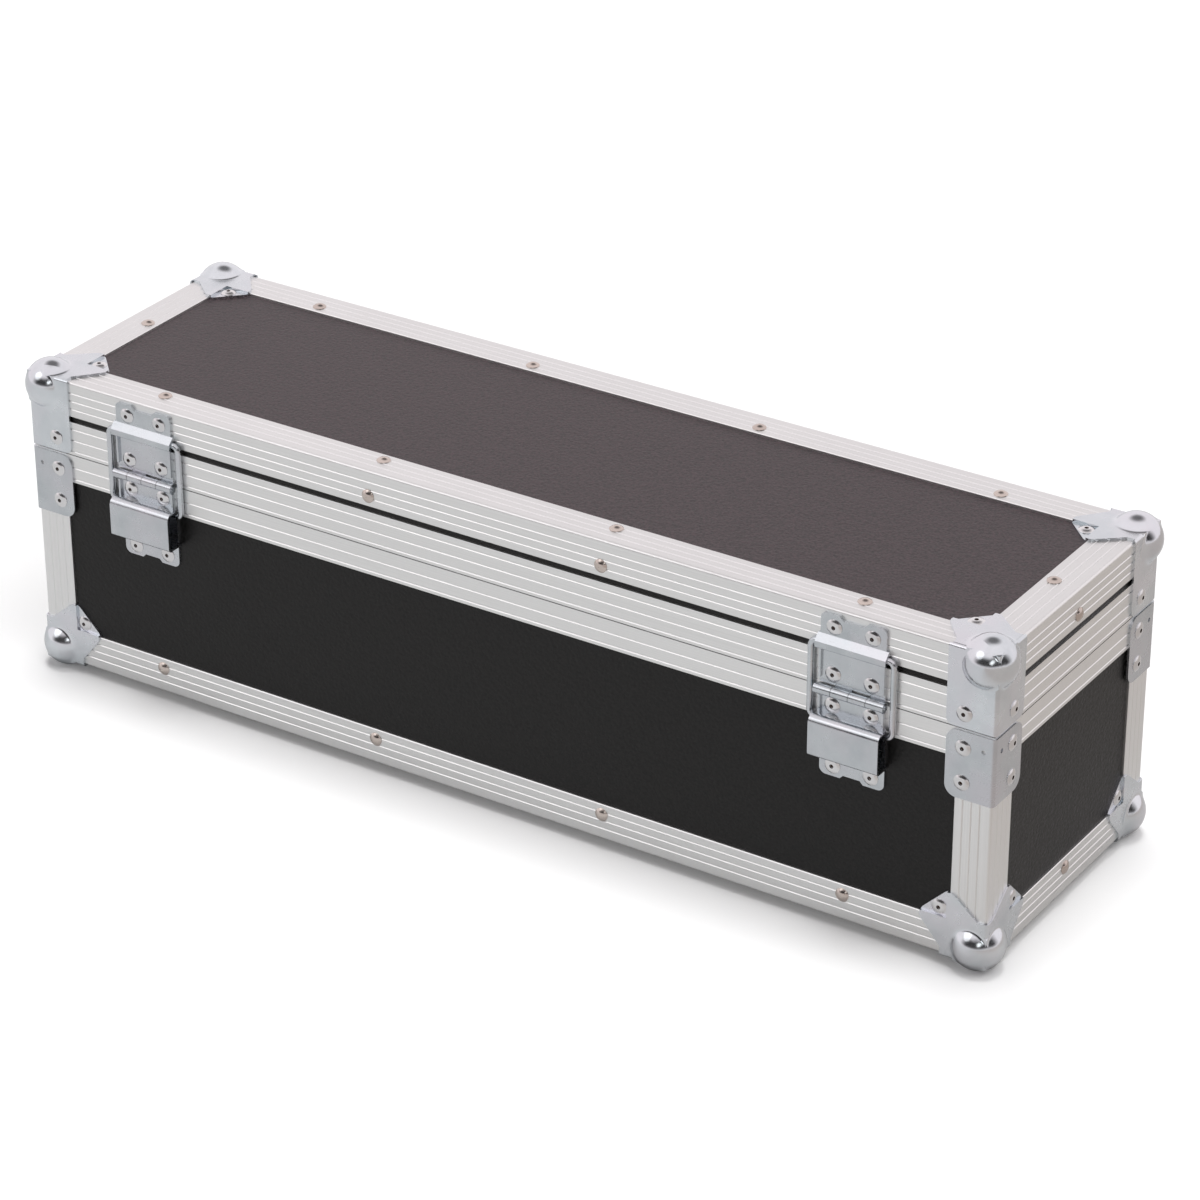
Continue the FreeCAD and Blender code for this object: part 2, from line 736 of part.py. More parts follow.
def hinge_pin(x):
    half = hinge_w / 2 + pin_stub
    return side_rod(x - half, x + half, pin_out, 0, pin_r, HINGE)


def hinge_pocket(x):
    half, notch = leaf_w / 2, flange_notch_w / 2
    low, high = -flange_down, -pocket_back_down
    path = [(-half, high)] + round_corner((-half, low), (0, 1), (1, 0), flange_round)
    path += [(-notch - flange_notch, low), (-notch, low + flange_notch),
             (notch, low + flange_notch), (notch + flange_notch, low)]
    path += round_corner((half, low), (-1, 0), (0, 1), flange_round) + [(half, high)]
    back = side_sheet(path, x, -angle_t, pocket_t - angle_t, HINGE)
    x0, x1 = x - hinge_w / 2, x + hinge_w / 2
    floor, outer = pocket_floor, flap_out + pocket_t
    lip = -pocket_lip_down
    inner_r = pocket_lip_r - pocket_t
    shell = [(-angle_t, floor), (flap_out, floor)]
    shell += round_corner((flap_out, lip - pocket_t), (0, -1), (-1, 0), inner_r)
    shell += [(hinge_t, lip - pocket_t), (hinge_t, lip)]
    shell += round_corner((outer, lip), (-1, 0), (0, -1), pocket_lip_r)
    shell += round_corner((outer, floor - pocket_t), (0, 1), (-1, 0), 2 * pocket_t)
    shell += [(-angle_t, floor - pocket_t)]
    flap = side_bar(shell, x0, x1, HINGE)
    return fused(back, flap)


def hinge_bail(x):
    top, bottom = tunnel_at(0), bar_at(0)
    corners = [(-1, bottom), (1, bottom), (1, top), (-1, top)]
    points = [V(x + s * bail_span / 2, -half_w - out, part_z + up) for s, (out, up) in corners]
    return bent_wire(points, bail_bend, bail_wire_r, True)


# Draw latch
latch_plate_bottom = latch_plate_top + latch_plate_h
latch_rivets_down = (latch_plate_top + latch_rivet_edge, latch_plate_bottom - latch_rivet_edge)
latch_rivet_span = latch_plate_w - 2 * latch_rivet_edge
lever_barrel_r = pin_r + pin_gap + lever_barrel_wall
ear_r = pin_r + pin_gap + ear_wall
lever_axis_out = latch_plate_t + lever_gap + lever_barrel_r
lever_axis_down = latch_rivets_down[0] + rivet_head_r + ear_rivet_space + ear_r + ear_foot
loop_axis_down = lever_axis_down + lever_throw
pin_half = lever_w / 2 + ear_gap + ear_t + pin_stub
loop_span = 2 * (pin_half + loop_side_gap + loop_wire_r)
keeper_seat = keeper_rivet_up + rivet_head_r + keeper_rivet_gap + keeper_t
loop_bar_up = keeper_seat + keeper_gap + loop_wire_r


def latch_plate(x):
    half = latch_plate_w / 2
    low, high = -latch_plate_bottom, -latch_plate_top
    plate = side_sheet(round_box((-half, low), (half, high), latch_round), x, 0, latch_plate_t, LATCH)
    packing = side_sheet(round_box((-half, low), (half, -pocket_back_down), latch_round),
                         x, -angle_t, 0, LATCH)
    root = ear_r + ear_foot
    pieces = [packing]
    axis = -lever_axis_down
    path = [(0, axis - root), (lever_axis_out, axis - ear_r),
            ((lever_axis_out + ear_r, axis), (lever_axis_out, axis + ear_r)), (0, axis + root)]
    for s in (-1, 1):
        inner = x + s * (lever_w / 2 + ear_gap)
        x0, x1 = sorted((inner, inner + s * ear_t))
        pieces.append(side_bar(path, x0, x1, LATCH))
    bore = side_rod(x - half, x + half, lever_axis_out, axis, pin_r + pin_gap, LATCH)
    return fused(plate, *pieces).cut(bore)


def latch_pin(x):
    return side_rod(x - pin_half, x + pin_half, lever_axis_out, -lever_axis_down, pin_r, LATCH)


def latch_lever(x):
    x0, x1 = x - lever_w / 2, x + lever_w / 2
    outer, axis = lever_axis_out + lever_t / 4, -lever_axis_down
    inner = outer - lever_t
    lip, thick = axis - lever_length, lever_t * math.sqrt(0.5)
    path = [(outer, axis), (outer, lip), (outer + lever_lip, lip - lever_lip),
            (outer + lever_lip - thick, lip - lever_lip - thick), (inner, lip - lever_t), (inner, axis)]
    plate = side_bar(path, x0, x1, LATCH)
    barrel = side_rod(x0, x1, lever_axis_out, axis, lever_barrel_r, LATCH)
    boss = side_rod(x0, x1, lever_axis_out, -loop_axis_down, loop_wire_r + lever_t, LATCH)
    bores = [side_rod(x0 - 1, x1 + 1, lever_axis_out, axis, pin_r + pin_gap, LATCH),
             side_rod(x0 - 1, x1 + 1, lever_axis_out, -loop_axis_down, loop_wire_r + loop_fit, LATCH)]
    return fused(plate, barrel, boss).cut(bores)


def latch_loop(x):
    half, tail = loop_span / 2, loop_end_gap / 2
    low, high = -loop_axis_down, loop_bar_up
    corners = [(-tail, low), (-half, low), (-half, high), (half, high), (half, low), (tail, low)]
    points = [V(x + u, half_w + lever_axis_out, part_z + up) for u, up in corners]
    return bent_wire(points, loop_bend, loop_wire_r, False)


def latch_keeper(x):
    half = keeper_w / 2
    top = loop_bar_up + keeper_above
    path = round_box((-half, keeper_bottom), (half, top), latch_round)
    plate = side_sheet(path, x, 0, keeper_t, LATCH)
    lip_in = lever_axis_out + loop_wire_r + keeper_throat
    lip_out, under = lip_in + keeper_t, keeper_seat - keeper_t
    hook = [(0, under)] + round_corner((lip_out, under), (-1, 0), (0, 1), keeper_t)
    hook += [(lip_out, keeper_seat + keeper_lip), (lip_in, keeper_seat + keeper_lip),
             (lip_in, keeper_seat), (0, keeper_seat)]
    return fused(plate, side_bar(hook, x - keeper_hook_w / 2, x + keeper_hook_w / 2, LATCH))


# Drop handle
open_panel = (angle_leg - base_height, -parting_gap / 2 - base_rim_leg)
handle_down = -sum(open_panel) / 2 - handle_lift
handle_plate_w = handle_span + 2 * handle_plate_over
handle_eye_r = handle_wire_r + handle_fit + handle_eye_wall
handle_eye_at = handle_span / 2 - handle_bend - handle_eye_gap - handle_eye_w / 2
handle_tail = handle_eye_at - handle_eye_w / 2 - handle_eye_gap
handle_rivets = (handle_eye_at - handle_eye_w / 2 - handle_rivet_in,
                 handle_plate_w / 2 - handle_rivet_edge)
grip_w = handle_span - 2 * (handle_bend + grip_end_gap)


def handle_plate():
    half_u, half_z = handle_plate_w / 2, handle_plate_h / 2
    path = round_box((-half_u, -handle_down - half_z), (half_u, half_z - handle_down), handle_round)
    face_out = handle_plate_t - angle_t
    plate = side_sheet(path, 0, -angle_t, face_out, LATCH)
    root = handle_eye_r + handle_eye_foot
    axis = -handle_down
    eye = [(-angle_t / 2, axis - root), (handle_out, axis - handle_eye_r),
           ((handle_out + handle_eye_r, axis), (handle_out, axis + handle_eye_r)),
           (-angle_t / 2, axis + root)]
    eyes = [side_bar(eye, s * handle_eye_at - handle_eye_w / 2, s * handle_eye_at + handle_eye_w / 2,
                     LATCH) for s in (-1, 1)]
    bore = side_rod(-half_u, half_u, handle_out, axis, handle_wire_r + handle_fit, LATCH)
    return fused(plate, *eyes).cut(bore)


def handle_bail():
    half, low = handle_span / 2, -handle_down - handle_drop
    corners = [(-handle_tail, -handle_down), (-half, -handle_down), (-half, low),
               (half, low), (half, -handle_down), (handle_tail, -handle_down)]
    points = [V(u, half_w + handle_out, part_z + up) for u, up in corners]
    return bent_wire(points, handle_bend, handle_wire_r, False)


def handle_grip():
    up = -handle_down - handle_drop
    grip = side_rod(-grip_w / 2, grip_w / 2, handle_out, up, grip_r, LATCH)
    grip = grip.makeFillet(grip_round, grip.Edges[:1] + grip.Edges[2:])
    bore = side_rod(-grip_w, grip_w, handle_out, up, handle_wire_r + grip_gap, LATCH)
    return grip.cut(bore)


# Assembly: one list of rivet places for each body, then every node drilled by its body's rivets
hinge_xs = {"left": hinge_inset - half_l, "right": half_l - hinge_inset}
latch_xs = {"left": latch_inset - half_l, "right": half_l - latch_inset}
both_rows = {HINGE: (0.5, 1.5), LATCH: (0.5, 1.5)}
lid_rows = {HINGE: (0.5,), LATCH: (0.5, 1.5)}
base_edge = edge_seats(base_z, -1, both_rows)
lid_edge = edge_seats(top_z, 1, lid_rows)
base_fixings, lid_fixings = base_corner_seats(), lid_corner_seats()
for x in hinge_xs.values():
    base_fixings += pair_seats(x, hinge_rivet_span, hinge_t, -rivet_row_down[0], HINGE)
    base_fixings += pair_seats(x, hinge_rivet_span, pocket_t - angle_t, -rivet_row_down[1], HINGE)
    for up in rivet_row_up:
        lid_fixings += pair_seats(x, hinge_rivet_span, hinge_t, up, HINGE)
for x in latch_xs.values():
    for down in latch_rivets_down:
        base_fixings += pair_seats(x, latch_rivet_span, latch_plate_t, -down, LATCH)
    lid_fixings += pair_seats(x, keeper_rivet_span, keeper_t, keeper_rivet_up, LATCH)
for u in handle_rivets:
    base_fixings += pair_seats(0, 2 * u, handle_plate_t - angle_t, -handle_down, LATCH)

floor_z = base_z + wall_in
foam_floor_z = floor_z + floor_foam_t
base_foam_top = base_rim_z - base_rim_web - rim_inner_leg - foam_gap
base_wall_top = base_rim_z - base_rim_web
lid_wall_low = lid_rim_z + lid_rim_web
lid_roof_z = top_z - wall_in
base_grooves = (base_groove_first, base_rim_leg - base_groove_last)
lid_grooves = (lid_groove_first, (lid_groove_first + lid_rim_leg - lid_groove_last) / 2,
               lid_rim_leg - lid_groove_last)
base_rim_outline = rim_path(base_rim_web, base_rim_leg, slot_steps(0, -tongue_h), base_grooves)
lid_rim_outline = rim_path(lid_rim_web, lid_rim_leg,
                           slot_steps(tongue_side_gap, tongue_h + tongue_top_gap), lid_grooves)
long_sides, end_sides = ("hinge_side", "latch_side"), ("left_end", "right_end")

base, lid, loose = {}, {}, {}
base["floor_panel"] = flat(angle_t, base_z + angle_t, floor_z)
lid["lid_top_panel"] = flat(angle_t, lid_roof_z, top_z - angle_t)
for side in long_sides + end_sides:
    ends = angle_t if side in long_sides else wall_in
    base[f"base_wall_{side}"] = wall(side, angle_t, panel_t, ends, floor_z, base_wall_top)
    base[f"bottom_angle_{side}"] = edge_angle(side, base_z, 1)
    base[f"base_rim_{side}"] = rim(side, base_rim_z, -1, base_rim_outline)
    lid[f"lid_angle_{side}"] = edge_angle(side, top_z, -1)
    lid[f"lid_rim_{side}"] = rim(side, lid_rim_z, 1, lid_rim_outline)
for name, group, ends, foam_ends in (("long", long_sides, angle_t, wall_in),
                                     ("end", end_sides, wall_in, wall_in + wall_foam_t)):
    lid[f"lid_{name}_walls"] = Part.Compound(
        [wall(side, angle_t, panel_t, ends, lid_wall_low, lid_roof_z) for side in group])
    base[f"{name}_foam"] = Part.Compound(
        [wall(side, wall_in, wall_foam_t, foam_ends, foam_floor_z, base_foam_top) for side in group])
base["floor_foam"] = flat(wall_in, floor_z, foam_floor_z)
lid["lid_foam"] = flat(inner_leg_in + foam_gap, lid_roof_z - lid_foam_t, lid_roof_z)
base["corner_posts"] = Part.Compound(four_corners(corner_post()))
base["base_ball_corners"] = Part.Compound(four_corners(base_ball_corner()))
base["corner_braces"] = Part.Compound(four_corners(corner_brace()))
lid["lid_ball_corners"] = Part.Compound(four_corners(lid_ball_corner()))
for name, x in hinge_xs.items():
    lid[f"hinge_upper_leaf_{name}"] = upper_leaf(x)
    base[f"hinge_lower_leaf_{name}"] = lower_leaf(x)
    base[f"hinge_pocket_{name}"] = hinge_pocket(x)
    loose[f"hinge_bail_{name}"] = hinge_bail(x)
for name, x in latch_xs.items():
    base[f"latch_plate_{name}"] = latch_plate(x)
    lid[f"latch_keeper_{name}"] = latch_keeper(x)
    loose[f"latch_lever_{name}"] = latch_lever(x)
    loose[f"latch_loop_{name}"] = latch_loop(x)
base["handle_plate"] = handle_plate()
loose["hinge_pins"] = Part.Compound([hinge_pin(x) for x in hinge_xs.values()])
loose["latch_pins"] = Part.Compound([latch_pin(x) for x in latch_xs.values()])
loose["handle_bail"] = handle_bail()
loose["handle_grip"] = handle_grip()

nodes = {name: drilled(shape, base_edge + base_fixings) for name, shape in base.items()}
nodes |= {name: drilled(shape, lid_edge + lid_fixings) for name, shape in lid.items()}
nodes |= loose
domed, blind = domed_rivet(), blind_rivet()
for name, rivet, seats in (
        ("base_edge_rivets", domed, base_edge),
        ("base_fixing_rivets", blind, base_fixings),
        ("lid_edge_rivets", domed, lid_edge),
        ("lid_fixing_rivets", blind, lid_fixings)):
    nodes[name] = Part.Compound([set_rivet(rivet, seat) for seat in seats])

for name, shape in nodes.items():
    shape.translate(V(0, mid_y, 0))
    if not shape.isValid():
        print("not valid:", name)
    shape.exportStep(f"parts/{name}.step")
print(len(nodes), "nodes,", sum(len(s.Solids) for s in nodes.values()), "solids")
print("flap stands out", round(flap_out + pocket_t, 2), "pocket floor", round(pocket_floor, 2),
      "bail turns", round(bail_share, 4), "of the lid's turn, middle at y", round(mid_y, 3))
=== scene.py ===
import math

import bmesh
import bpy
from mathutils import Matrix, Vector, noise


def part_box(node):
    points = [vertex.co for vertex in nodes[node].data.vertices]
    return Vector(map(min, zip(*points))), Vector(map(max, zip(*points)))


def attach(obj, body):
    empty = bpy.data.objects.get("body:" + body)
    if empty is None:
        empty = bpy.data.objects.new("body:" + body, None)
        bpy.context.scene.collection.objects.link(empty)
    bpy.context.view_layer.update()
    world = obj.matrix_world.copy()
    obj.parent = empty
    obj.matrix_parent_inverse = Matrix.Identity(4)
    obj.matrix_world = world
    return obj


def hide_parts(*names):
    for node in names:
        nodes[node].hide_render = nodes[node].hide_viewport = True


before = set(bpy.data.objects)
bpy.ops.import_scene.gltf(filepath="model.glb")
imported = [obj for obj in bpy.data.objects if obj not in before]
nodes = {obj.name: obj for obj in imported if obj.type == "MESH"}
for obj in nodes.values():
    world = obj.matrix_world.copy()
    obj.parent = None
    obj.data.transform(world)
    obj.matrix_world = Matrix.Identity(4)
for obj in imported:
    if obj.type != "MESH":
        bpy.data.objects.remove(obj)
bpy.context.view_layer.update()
scene = bpy.context.scene
print("frame loaded:", len(nodes), "nodes")


# small helpers for node trees
def addNode(tree, kind, **values):
    node = tree.nodes.new(kind)
    for key, value in values.items():
        name = key.replace("_", " ")
        if name in node.inputs:
            node.inputs[name].default_value = value
        else:
            setattr(node, key, value)
    return node


def feed(tree, socket, value):
    if isinstance(value, bpy.types.NodeSocket):
        tree.links.new(value, socket)
    else:
        socket.default_value = value


def mathOf(tree, operation, *values):
    node = addNode(tree, "ShaderNodeMath", operation=operation)
    for socket, value in zip(node.inputs, values):
        feed(tree, socket, value)
    return node.outputs[0]


def vectorOf(tree, operation, output, *values):
    node = addNode(tree, "ShaderNodeVectorMath", operation=operation)
    for socket, value in zip(node.inputs, values):
        feed(tree, socket, value)
    return node.outputs[output]


def stretchOf(tree, place, scale, turn=(0, 0, 0)):
    node = addNode(tree, "ShaderNodeMapping", Rotation=turn, Scale=scale)
    tree.links.new(place, node.inputs["Vector"])
    return node.outputs["Vector"]


def noiseOf(tree, place, look):
    node = addNode(tree, "ShaderNodeTexNoise", **look)
    tree.links.new(place, node.inputs["Vector"])
    return node.outputs["Fac"]


def rangeOf(tree, value, low, high, fromLow=0.3, fromHigh=0.7):
    node = tree.nodes.new("ShaderNodeMapRange")
    limits = {"From Min": fromLow, "From Max": fromHigh, "To Min": low, "To Max": high}
    for key, number in limits.items():
        node.inputs[key].default_value = number
    tree.links.new(value, node.inputs["Value"])
    return node.outputs["Result"]


# the Mix node's colours are its inputs 6 and 7 and its output 2
def mixColours(tree, value, first, second):
    node = addNode(tree, "ShaderNodeMix", data_type="RGBA")
    tree.links.new(value, node.inputs[0])
    for index, colour in ((6, first), (7, second)):
        feed(tree, node.inputs[index], (*colour, 1) if isinstance(colour, tuple) else colour)
    return node.outputs[2]


def newGroup(name, inputs, outputs):
    group = bpy.data.node_groups.new(name, "ShaderNodeTree")
    for label, kind, default in inputs:
        socket = group.interface.new_socket(name=label, in_out="INPUT", socket_type=kind)
        if default is not None:
            socket.default_value = default
    for label, kind in outputs:
        group.interface.new_socket(name=label, in_out="OUTPUT", socket_type=kind)
    return group, group.nodes.new("NodeGroupInput"), group.nodes.new("NodeGroupOutput")


def placeGroup(tree, group, place, **values):
    node = tree.nodes.new("ShaderNodeGroup")
    node.node_tree = group
    tree.links.new(place, node.inputs["Vector"])
    for key, value in values.items():
        node.inputs[key].default_value = value
    return node.outputs


# rubbed and scratched surface: a slow smudge and fine crossing scratches
handling = {"smudge": {"Scale": 17.0, "Detail": 4.0, "Roughness": 0.6},
            "scratch": {"Scale": 1.0, "Detail": 2.0, "Roughness": 0.5},
            "ways": ((0.5, (25, 1100, 60)), (-0.7, (1300, 30, 80)), (1.2, (40, 70, 1200))),
            "tilt": 0.6, "keep": (0.69, 0.76)}


def makeHandling():
    group, start, end = newGroup(
        "handlingMarks",
        [("Vector", "NodeSocketVector", None), ("Scratches", "NodeSocketFloat", 1.0)],
        [("Smudge", "NodeSocketFloat"), ("Scratch", "NodeSocketFloat")])
    place = start.outputs["Vector"]
    group.links.new(noiseOf(group, place, handling["smudge"]), end.inputs["Smudge"])
    lines = []
    for turn, scale in handling["ways"]:
        along = stretchOf(group, place, scale, (turn, turn * handling["tilt"], turn))
        scratch = noiseOf(group, along, handling["scratch"])
        lines.append(rangeOf(group, scratch, 0.0, 1.0, *handling["keep"]))
    strongest = mathOf(group, "MAXIMUM", mathOf(group, "MAXIMUM", lines[0], lines[1]), lines[2])
    amount = mathOf(group, "MULTIPLY", strongest, start.outputs["Scratches"])
    group.links.new(amount, end.inputs["Scratch"])
    return group


# fine pebbled grain, as on film, foam and moulded plastic
pebbles = {"cells": 900.0, "randomness": 1.0, "finer": 1.7,
           "speckle": {"Detail": 3.0, "Roughness": 0.65}}


def makeGrain():
    group, start, end = newGroup(
        "fineGrain",
        [("Vector", "NodeSocketVector", None), ("Cells", "NodeSocketFloat", pebbles["cells"])],
        [("Height", "NodeSocketFloat"), ("Speckle", "NodeSocketFloat")])
    link = group.links.new
    count = start.outputs["Cells"]
    cells = addNode(group, "ShaderNodeTexVoronoi", feature="SMOOTH_F1",
                    Randomness=pebbles["randomness"])
    speckle = addNode(group, "ShaderNodeTexNoise", **pebbles["speckle"])
    for texture in (cells, speckle):
        link(start.outputs["Vector"], texture.inputs["Vector"])
    link(count, cells.inputs["Scale"])
    link(mathOf(group, "MULTIPLY", count, pebbles["finer"]), speckle.inputs["Scale"])
    height = mathOf(group, "ADD", cells.outputs["Distance"], speckle.outputs["Fac"])
    link(height, end.inputs["Height"])
    link(speckle.outputs["Fac"], end.inputs["Speckle"])
    return group


# long fine lines left along a drawn or rolled profile
drawn = {"Scale": 1.0, "Detail": 5.0, "Roughness": 0.7}


def makeDrawLines():
    group, start, end = newGroup(
        "drawLines",
        [("Vector", "NodeSocketVector", None)],
        [("Lines", "NodeSocketFloat")])
    group.links.new(noiseOf(group, start.outputs["Vector"], drawn), end.inputs["Lines"])
    return group


handlingMarks, fineGrain, drawLines = makeHandling(), makeGrain(), makeDrawLines()


# materials share one start, a Principled shader and Object coordinates, and one end
def newMaterial(name, **values):
    material = bpy.data.materials.new(name)
    material.use_nodes = True
    tree = material.node_tree
    shader = tree.nodes["Principled BSDF"]
    for key, value in values.items():
        shader.inputs[key.replace("_", " ")].default_value = value
    place = tree.nodes.new("ShaderNodeTexCoord").outputs["Object"]
    return material, tree, shader, place


def dress(tree, shader, look, colour, gloss, height):
    bump = addNode(tree, "ShaderNodeBump", Strength=look["bump"], Distance=look["depth"])
    tree.links.new(height, bump.inputs["Height"])
    tree.links.new(bump.outputs["Normal"], shader.inputs["Normal"])
    feed(tree, shader.inputs["Base Color"], colour)
    feed(tree, shader.inputs["Roughness"], gloss)


film = {"gloss": (0.32, 0.54), "cells": 430.0, "speckle": (0.38, 0.62),
        "bump": 0.9, "depth": 0.00016, "stretch": (240.0, 240.0, 430.0), "wrinkleShare": 0.4,
        "wrinkles": {"Scale": 1.0, "Detail": 3.0, "Roughness": 0.6, "Distortion": 0.6},
        "wall": {"dark": (0.0032, 0.0030, 0.0029), "light": (0.0108, 0.0100, 0.0096), "ior": 1.37},
        # the top tone's lighter colours are a painted sheen
        "top": {"dark": (0.0060, 0.0040, 0.0046), "light": (0.0620, 0.0430, 0.0475), "ior": 1.45}}


# one film finish; the lid's top gets much lighter colours than the walls, a painted sheen for the
# bright room it reflects
def filmFace(name, tone):
    material, tree, shader, place = newMaterial(name, IOR=tone["ior"])
    grain = placeGroup(tree, fineGrain, place, Cells=film["cells"])
    wrinkle = noiseOf(tree, stretchOf(tree, place, film["stretch"]), film["wrinkles"])
    speckle = rangeOf(tree, grain["Speckle"], 0, 1, *film["speckle"])
    dress(tree, shader, film,
          colour=mixColours(tree, speckle, tone["dark"], tone["light"]),
          gloss=rangeOf(tree, grain["Speckle"], *film["gloss"]),
          height=mathOf(tree, "MULTIPLY_ADD", wrinkle, film["wrinkleShare"], grain["Height"]))
    return material


alloy = {"dark": (0.79, 0.795, 0.79), "light": (0.87, 0.875, 0.87), "gloss": (0.30, 0.42),
         "along": 2.0, "across": 2600.0, "lineShare": 0.6, "smudge": (0.1, 0.3),
         "bump": 0.06, "depth": 0.00004}


def edgeAlloy(axis):
    material, tree, shader, place = newMaterial("edgeAlloy" + "XYZ"[axis], Metallic=1.0)
    scale = [alloy["across"]] * 3
    scale[axis] = alloy["along"]
    lines = placeGroup(tree, drawLines, stretchOf(tree, place, scale))["Lines"]
    smudge = rangeOf(tree, placeGroup(tree, handlingMarks, place)["Smudge"], *alloy["smudge"])
    worn = mathOf(tree, "MULTIPLY_ADD", lines, alloy["lineShare"], smudge)
    dress(tree, shader, alloy,
          colour=mixColours(tree, rangeOf(tree, lines, 0, 1), alloy["dark"], alloy["light"]),
          gloss=rangeOf(tree, worn, *alloy["gloss"]),
          height=lines)
    return material


zinc = {"dark": (0.510, 0.545, 0.572), "light": (0.640, 0.672, 0.698),
        "cast": (0.625, 0.615, 0.655), "castRange": (0.42, 0.68), "castShare": 0.7,
        "cloud": {"Scale": 38.0, "Detail": 3.0, "Roughness": 0.55},
        "gloss": (0.18, 0.31), "blotch": (3.2, 3.2, 3.2), "scratchShare": 0.35,
        "bump": 0.05, "depth": 0.00002, "ballRadius": 0.015, "ballRim": (0.0004, 0.0022),
        "ballShine": 0.17, "cornerTint": 1.2, "wireTint": 1.06}


# 1 on the eight balls, which rub bright, and 0 on the plates round them
def ballMask(tree, place):
    low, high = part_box("base_ball_corners")
    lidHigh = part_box("lid_ball_corners")[1]
    radius = zinc["ballRadius"]
    middle = Vector((0, (low.y + high.y) / 2, (low.z + lidHigh.z) / 2))
    centre = Vector((high.x, high.y - middle.y, lidHigh.z - middle.z)) - Vector([radius] * 3)
    shifted = vectorOf(tree, "SUBTRACT", "Vector", place, middle)
    folded = vectorOf(tree, "ABSOLUTE", "Vector", shifted)
    reach = vectorOf(tree, "DISTANCE", "Value", folded, centre)
    return rangeOf(tree, reach, 1.0, 0.0, *[radius + step for step in zinc["ballRim"]])


def zincPlate(name, tint=1.0, balls=False):
    material, tree, shader, place = newMaterial(name, Metallic=1.0)
    scratch = placeGroup(tree, handlingMarks, place, Scratches=1.0)["Scratch"]
    blotch = placeGroup(tree, handlingMarks, stretchOf(tree, place, zinc["blotch"]))["Smudge"]
    cloud = noiseOf(tree, place, zinc["cloud"])
    dark, light, cast = [tuple(c * tint for c in zinc[key]) for key in ("dark", "light", "cast")]
    shade = mixColours(tree, rangeOf(tree, blotch, 0, 1), dark, light)
    tinge = rangeOf(tree, cloud, 0, zinc["castShare"], *zinc["castRange"])
    worn = mathOf(tree, "MULTIPLY_ADD", scratch, zinc["scratchShare"], blotch)
    gloss = rangeOf(tree, worn, *zinc["gloss"])
    if balls:
        rubbed = addNode(tree, "ShaderNodeMix", B=zinc["ballShine"])
        tree.links.new(ballMask(tree, place), rubbed.inputs["Factor"])
        tree.links.new(gloss, rubbed.inputs["A"])
        gloss = rubbed.outputs["Result"]
    dress(tree, shader, zinc,
          colour=mixColours(tree, tinge, shade, cast),
          gloss=gloss,
          height=scratch)
    return material


rivets = {"head": (0.80, 0.80, 0.805), "headDull": (0.70, 0.70, 0.71), "dome": (0.70, 0.625, 0.575),
          "domeDull": (0.52, 0.45, 0.41), "gloss": (0.12, 0.24), "bump": 0.05, "depth": 0.00002}


def rivetMetal(name, bright, dull):
    material, tree, shader, place = newMaterial(name, Metallic=1.0)
    marks = placeGroup(tree, handlingMarks, place, Scratches=1.0)
    dress(tree, shader, rivets,
          colour=mixColours(tree, rangeOf(tree, marks["Smudge"], 0, 1), dull, bright),
          gloss=rangeOf(tree, marks["Smudge"], *rivets["gloss"]),
          height=marks["Scratch"])
    return material


# the stub's dark brown is partly the steel's own colour and partly painted shade in the rivet's eye
broken = {"colour": (0.10, 0.068, 0.055), "darkShare": 0.35, "gloss": (0.4, 0.65), "cells": 2600.0,
          "bump": 0.6, "depth": 0.0001}


def stubSteelPaintedShade():
    material, tree, shader, place = newMaterial("stubSteelPaintedShade", Metallic=1.0)
    grain = placeGroup(tree, fineGrain, place, Cells=broken["cells"])
    dark = tuple(c * broken["darkShare"] for c in broken["colour"])
    dress(tree, shader, broken,
          colour=mixColours(tree, rangeOf(tree, grain["Speckle"], 0, 1), dark, broken["colour"]),
          gloss=rangeOf(tree, grain["Speckle"], *broken["gloss"]),
          height=grain["Height"])
    return material


foam = {"dark": (0.020, 0.020, 0.021), "light": (0.130, 0.130, 0.137), "shadeRange": (1.0, 2.0),
        "cells": 900.0, "pores": 330.0, "poreShare": 0.8, "roughness": 0.95, "ior": 1.3,
        "sheen": 0.15, "bump": 1.0, "depth": 0.0009}


def foamCells():
    material, tree, shader, place = newMaterial(
        "openFoam", IOR=foam["ior"], Sheen_Weight=foam["sheen"])
    grain = placeGroup(tree, fineGrain, place, Cells=foam["cells"])["Height"]
    pores = placeGroup(tree, fineGrain, place, Cells=foam["pores"])["Height"]
    height = mathOf(tree, "MULTIPLY_ADD", pores, foam["poreShare"], grain)
    shade = rangeOf(tree, height, 0, 1, *foam["shadeRange"])
    dress(tree, shader, foam,
          colour=mixColours(tree, shade, foam["dark"], foam["light"]),
          gloss=foam["roughness"],
          height=height)
    return material


moulded = {"dark": (0.012, 0.012, 0.012), "light": (0.024, 0.024, 0.024), "gloss": (0.42, 0.6),
           "ior": 1.48, "cells": 1600.0, "bump": 0.4, "depth": 0.0001}


def mouldedGrip():
    material, tree, shader, place = newMaterial("mouldedGrip", IOR=moulded["ior"])
    smudge = placeGroup(tree, handlingMarks, place)["Smudge"]
    grain = placeGroup(tree, fineGrain, place, Cells=moulded["cells"])
    speckle = rangeOf(tree, grain["Speckle"], 0, 1)
    dress(tree, shader, moulded,
          colour=mixColours(tree, speckle, moulded["dark"], moulded["light"]),
          gloss=rangeOf(tree, smudge, *moulded["gloss"]),
          height=grain["Height"])
    return material
